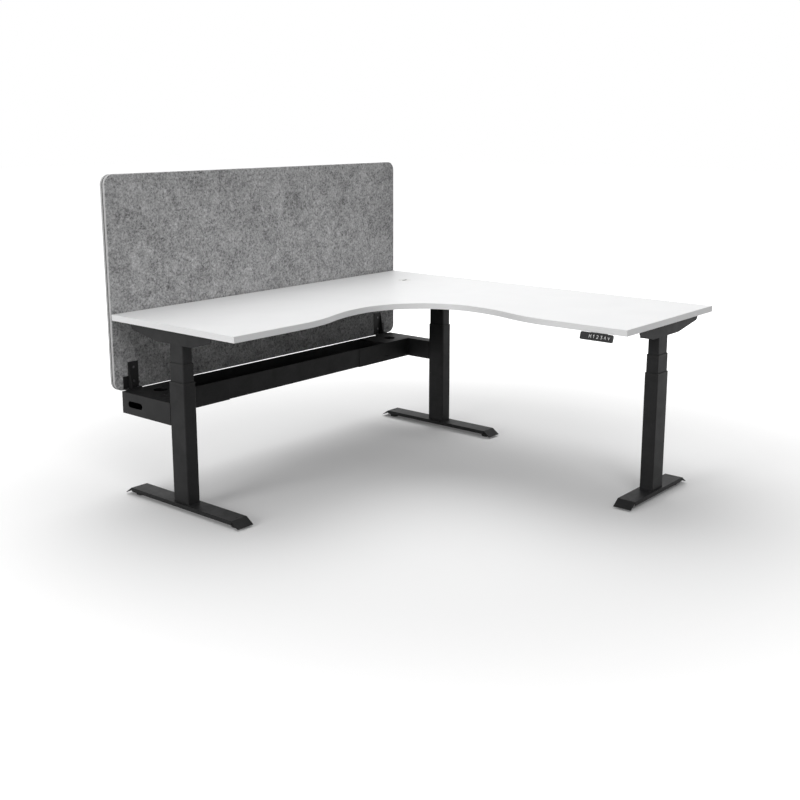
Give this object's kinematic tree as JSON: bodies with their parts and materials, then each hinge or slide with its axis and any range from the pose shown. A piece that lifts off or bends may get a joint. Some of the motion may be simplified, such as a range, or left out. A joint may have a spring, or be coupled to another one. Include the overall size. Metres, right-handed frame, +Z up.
{
  "type": "height-adjustable corner desk",
  "caption": "Height-adjustable corner desk: swept L-shaped top on telescopic columns, with a cable tray and a felt screen behind one wing.",
  "frame": {"origin": "middle of the footprint's bounding box, on the floor", "axes": "+Z up, +Y towards the screen, the left wing along -X and the right wing along -Y"},
  "size_m": [1.8, 1.834, 1.3395],
  "materials": {
    "black_steel": "matte powder coat",
    "white_board": "fine satin laminate",
    "edge_band": "satin edge strip",
    "felt_front": "pressed marled felt",
    "felt_back": "pressed marled felt",
    "guide_plastic": "satin",
    "glide_plastic": "matte",
    "fastener": "black zinc",
    "motor_case": "satin",
    "white_plastic": "satin",
    "black_plastic": "fine grain",
    "display_window": "gloss",
    "key_plastic": "satin"
  },
  "bodies": {
    "base": {"foot_left": "black_steel", "outer_tube_left": "black_steel", "outer_guide_left": "guide_plastic", "foot_corner": "black_steel", "outer_tube_corner": "black_steel", "outer_guide_corner": "guide_plastic", "foot_right": "black_steel", "outer_tube_right": "black_steel", "outer_guide_right": "guide_plastic", "foot_nuts": "fastener", "foot_screws": "fastener", "beam_end_left": "black_steel", "screen_bracket_left": "black_steel", "beam_end_right": "black_steel", "screen_bracket_right": "black_steel", "cable_tray": "black_steel", "tray_screws": "fastener", "screen_front_panel": "felt_front", "screen_back_panel": "felt_back", "screen_screws": "fastener"},
    "top": {"inner_tube_left": "black_steel", "side_bracket_left": "black_steel", "lift_motor_left": "motor_case", "inner_tube_corner": "black_steel", "side_bracket_corner": "black_steel", "lift_motor_corner": "motor_case", "inner_tube_right": "black_steel", "side_bracket_right": "black_steel", "lift_motor_right": "motor_case", "desktop": "white_board", "edge_band": "edge_band", "grommet_sleeve": "white_plastic", "top_screws": "fastener", "crossrail_front": "black_steel", "crossrail_rear": "black_steel", "wing_rail_inner": "black_steel", "wing_rail_outer": "black_steel", "control_box": "black_plastic", "handset_housing": "black_plastic", "handset_display": "display_window"},
    "grommet": {"grommet_cap": "white_plastic"},
    "stage_left": {"middle_tube_left": "black_steel", "middle_guide_left": "guide_plastic"},
    "glide_left_front": {"glide_left_front": "glide_plastic"},
    "glide_left_rear": {"glide_left_rear": "glide_plastic"},
    "stage_corner": {"middle_tube_corner": "black_steel", "middle_guide_corner": "guide_plastic"},
    "glide_corner_front": {"glide_corner_front": "glide_plastic"},
    "glide_corner_rear": {"glide_corner_rear": "glide_plastic"},
    "stage_right": {"middle_tube_right": "black_steel", "middle_guide_right": "guide_plastic"},
    "glide_right_front": {"glide_right_front": "glide_plastic"},
    "glide_right_rear": {"glide_right_rear": "glide_plastic"},
    "key_memory": {"key_memory": "key_plastic"},
    "key_one": {"key_one": "key_plastic"},
    "key_two": {"key_two": "key_plastic"},
    "key_three": {"key_three": "key_plastic"},
    "key_up": {"key_up": "key_plastic"},
    "key_down": {"key_down": "key_plastic"}
  },
  "joints": [
    {"name": "desk_lift", "type": "slide", "parent": "base", "child": "top", "axis": [0, 0, 1], "range_m": [-0.15, 0.5]},
    {"name": "stage_left_slide", "type": "slide", "parent": "base", "child": "stage_left", "axis": [0, 0, 1], "range_m": [-0.075, 0.25]},
    {"name": "stage_corner_slide", "type": "slide", "parent": "base", "child": "stage_corner", "axis": [0, 0, 1], "range_m": [-0.075, 0.25]},
    {"name": "stage_right_slide", "type": "slide", "parent": "base", "child": "stage_right", "axis": [0, 0, 1], "range_m": [-0.075, 0.25]},
    {"name": "grommet_turn", "type": "hinge", "parent": "top", "child": "grommet", "pos_m": [0.65, 0.603, 0.77], "axis": [0, 0, 1], "range_deg": [-90, 90]},
    {"name": "glide_left_front_level", "type": "slide", "parent": "base", "child": "glide_left_front", "axis": [0, 0, -1], "range_m": [0, 0.012]},
    {"name": "glide_left_rear_level", "type": "slide", "parent": "base", "child": "glide_left_rear", "axis": [0, 0, -1], "range_m": [0, 0.012]},
    {"name": "glide_corner_front_level", "type": "slide", "parent": "base", "child": "glide_corner_front", "axis": [0, 0, -1], "range_m": [0, 0.012]},
    {"name": "glide_corner_rear_level", "type": "slide", "parent": "base", "child": "glide_corner_rear", "axis": [0, 0, -1], "range_m": [0, 0.012]},
    {"name": "glide_right_front_level", "type": "slide", "parent": "base", "child": "glide_right_front", "axis": [0, 0, -1], "range_m": [0, 0.012]},
    {"name": "glide_right_rear_level", "type": "slide", "parent": "base", "child": "glide_right_rear", "axis": [0, 0, -1], "range_m": [0, 0.012]},
    {"name": "key_memory_press", "type": "slide", "parent": "top", "child": "key_memory", "axis": [0.9565, 0, -0.2918], "range_m": [0, 0.001], "stiffness_N_per_m": 800, "springref_m": -0.0004},
    {"name": "key_one_press", "type": "slide", "parent": "top", "child": "key_one", "axis": [0.9565, 0, -0.2918], "range_m": [0, 0.001], "stiffness_N_per_m": 800, "springref_m": -0.0004},
    {"name": "key_two_press", "type": "slide", "parent": "top", "child": "key_two", "axis": [0.9565, 0, -0.2918], "range_m": [0, 0.001], "stiffness_N_per_m": 800, "springref_m": -0.0004},
    {"name": "key_three_press", "type": "slide", "parent": "top", "child": "key_three", "axis": [0.9565, 0, -0.2918], "range_m": [0, 0.001], "stiffness_N_per_m": 800, "springref_m": -0.0004},
    {"name": "key_up_press", "type": "slide", "parent": "top", "child": "key_up", "axis": [0.9565, 0, -0.2918], "range_m": [0, 0.001], "stiffness_N_per_m": 800, "springref_m": -0.0004},
    {"name": "key_down_press", "type": "slide", "parent": "top", "child": "key_down", "axis": [0.9565, 0, -0.2918], "range_m": [0, 0.001], "stiffness_N_per_m": 800, "springref_m": -0.0004}
  ],
  "couplings": [
    {"joint": "stage_left_slide", "follows": "desk_lift", "ratio": 0.5},
    {"joint": "stage_corner_slide", "follows": "desk_lift", "ratio": 0.5},
    {"joint": "stage_right_slide", "follows": "desk_lift", "ratio": 0.5}
  ]
}
